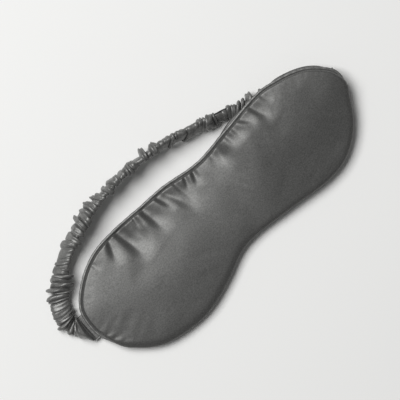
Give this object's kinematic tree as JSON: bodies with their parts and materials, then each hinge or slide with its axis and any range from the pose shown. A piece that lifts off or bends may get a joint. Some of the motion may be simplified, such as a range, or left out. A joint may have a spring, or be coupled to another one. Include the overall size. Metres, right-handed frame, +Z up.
{
  "type": "sleep eye mask",
  "caption": "Padded satin eye mask shaped over the nose, with a piped edge and a gathered elastic head strap.",
  "frame": {"origin": "on the flat of the back, behind the nose bridge, on the surface that the mask lies on", "axes": "+X to the mask's right end, +Y to the brow edge and the strap loop, +Z up out of the front panel"},
  "size_m": [0.2282, 0.0989, 0.0163],
  "materials": {
    "satin": "charcoal grey satin, soft sheen",
    "wadding": "white polyester wadding",
    "lining": "black woven blackout lining",
    "cord": "cotton filler cord",
    "thread": "dark grey sewing thread",
    "elastic": "black braided elastic"
  },
  "bodies": {
    "mask": {"front_panel": "satin", "back_panel": "satin", "wadding": "wadding", "blackout_lining": "lining", "piping_cover": "satin", "piping_cord": "cord", "edge_seam_thread": "thread", "strap_end_left": "satin", "strap_end_right": "satin", "strap_tack_left": "thread", "strap_tack_right": "thread"},
    "strap_ends": {"strap_sleeve_left": "satin", "strap_sleeve_right": "satin", "strap_elastic_left": "elastic", "strap_elastic_right": "elastic"},
    "strap_loop": {"strap_sleeve_middle": "satin", "strap_elastic_middle": "elastic"}
  },
  "joints": [
    {"name": "strap_swing", "type": "hinge", "parent": "mask", "child": "strap_ends", "pos_m": [-0.109, 0, 0.0026], "axis": [-0.999, -0.0376, -0.0254], "range_deg": [0, 105], "deforming": ["strap_sleeve_left", "strap_sleeve_right", "strap_elastic_left", "strap_elastic_right"]},
    {"name": "strap_stretch", "type": "slide", "parent": "strap_ends", "child": "strap_loop", "axis": [0, 1, 0], "range_m": [0, 0.065], "stiffness_N_per_m": 80}
  ]
}
